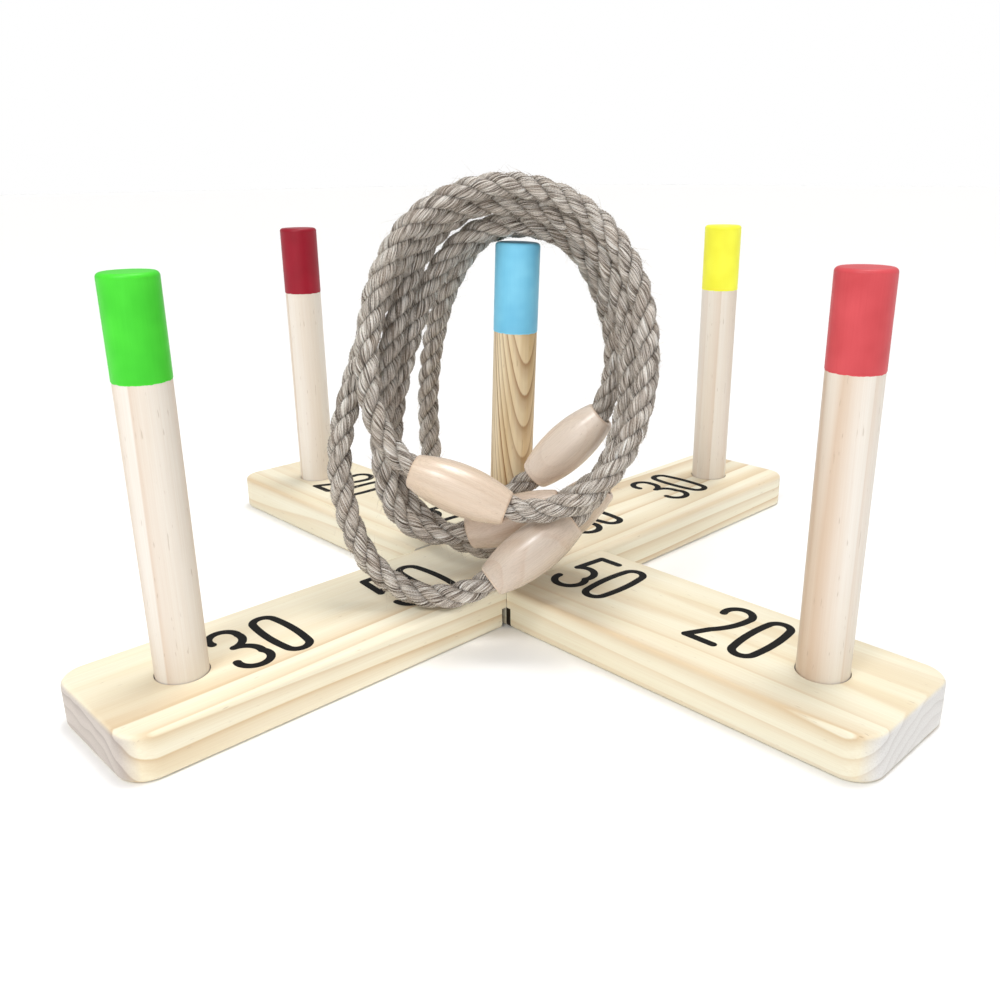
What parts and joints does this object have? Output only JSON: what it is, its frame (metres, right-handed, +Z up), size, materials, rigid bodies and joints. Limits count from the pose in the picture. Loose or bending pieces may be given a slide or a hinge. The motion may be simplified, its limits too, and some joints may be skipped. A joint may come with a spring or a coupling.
{
  "type": "ring toss set",
  "caption": "Lawn ring toss game: crossed wooden planks in a half lap, upright dowel pegs with dipped colour tips, painted numbers, and beaded rope rings piled over the centre peg.",
  "frame": {"origin": "centre of the underside, where the two planks cross, at floor level", "axes": "+Z up, +X along the lower plank towards the coral peg, +Y along the upper plank towards the yellow peg"},
  "size_m": [0.5, 0.5, 0.2371],
  "materials": {
    "pine_plank": "planed pale pine, bare, with soft yellow grain",
    "pale_dowel": "sanded whitish pine dowel",
    "golden_dowel": "sanded pine dowel with a strong golden grain",
    "crimson_paint": "dipped satin paint",
    "coral_paint": "dipped satin paint",
    "green_paint": "dipped satin paint",
    "yellow_paint": "dipped satin paint",
    "blue_paint": "dipped satin paint",
    "black_ink": "flat printed ink",
    "jute_rope": "three-strand twisted natural fibre, slightly hairy",
    "bead_wood": "turned and sanded, satin"
  },
  "bodies": {
    "lower_plank": {"lower_plank": "pine_plank", "number_20_by_crimson_peg": "black_ink", "number_50_crimson_side": "black_ink", "number_50_coral_side": "black_ink", "number_20_by_coral_peg": "black_ink"},
    "upper_plank": {"upper_plank": "pine_plank", "number_30_by_green_peg": "black_ink", "number_50_green_side": "black_ink", "number_50_yellow_side": "black_ink", "number_30_by_yellow_peg": "black_ink"},
    "crimson_peg": {"crimson_peg": "pale_dowel", "crimson_tip_paint": "crimson_paint"},
    "coral_peg": {"coral_peg": "pale_dowel", "coral_tip_paint": "coral_paint"},
    "green_peg": {"green_peg": "pale_dowel", "green_tip_paint": "green_paint"},
    "yellow_peg": {"yellow_peg": "pale_dowel", "yellow_tip_paint": "yellow_paint"},
    "blue_peg": {"blue_peg": "golden_dowel", "blue_tip_paint": "blue_paint"},
    "ring_1": {"ring_1_rope": "jute_rope", "ring_1_bead": "bead_wood"},
    "ring_2": {"ring_2_rope": "jute_rope", "ring_2_bead": "bead_wood"},
    "ring_3": {"ring_3_rope": "jute_rope", "ring_3_bead": "bead_wood"},
    "ring_4": {"ring_4_rope": "jute_rope", "ring_4_bead": "bead_wood"},
    "ring_5": {"ring_5_rope": "jute_rope", "ring_5_bead": "bead_wood"}
  },
  "joints": [
    {"name": "upper_plank_lift", "type": "slide", "parent": "lower_plank", "child": "upper_plank", "axis": [0, 0, 1], "range_m": [0, 0.04]},
    {"name": "crimson_peg_pull", "type": "slide", "parent": "lower_plank", "child": "crimson_peg", "axis": [0, 0, 1], "range_m": [0, 0.03]},
    {"name": "coral_peg_pull", "type": "slide", "parent": "lower_plank", "child": "coral_peg", "axis": [0, 0, 1], "range_m": [0, 0.03]},
    {"name": "green_peg_pull", "type": "slide", "parent": "upper_plank", "child": "green_peg", "axis": [0, 0, 1], "range_m": [0, 0.03]},
    {"name": "yellow_peg_pull", "type": "slide", "parent": "upper_plank", "child": "yellow_peg", "axis": [0, 0, 1], "range_m": [0, 0.03]},
    {"name": "blue_peg_pull", "type": "slide", "parent": "upper_plank", "child": "blue_peg", "axis": [0.0271, 0.0271, 0.9993], "range_m": [0, 0.03]},
    {"name": "ring_1_lift", "type": "slide", "parent": "blue_peg", "child": "ring_1", "axis": [0.2988, -0.2988, 0.9063], "range_m": [0, 0.21]},
    {"name": "ring_2_lift", "type": "slide", "parent": "ring_1", "child": "ring_2", "axis": [0.2988, -0.2988, 0.9063], "range_m": [0, 0.21]},
    {"name": "ring_3_lift", "type": "slide", "parent": "ring_2", "child": "ring_3", "axis": [0.2988, -0.2988, 0.9063], "range_m": [0, 0.21]},
    {"name": "ring_4_lift", "type": "slide", "parent": "ring_3", "child": "ring_4", "axis": [0.2988, -0.2988, 0.9063], "range_m": [0, 0.21]},
    {"name": "ring_5_lift", "type": "slide", "parent": "ring_4", "child": "ring_5", "axis": [0.2988, -0.2988, 0.9063], "range_m": [0, 0.21]}
  ]
}
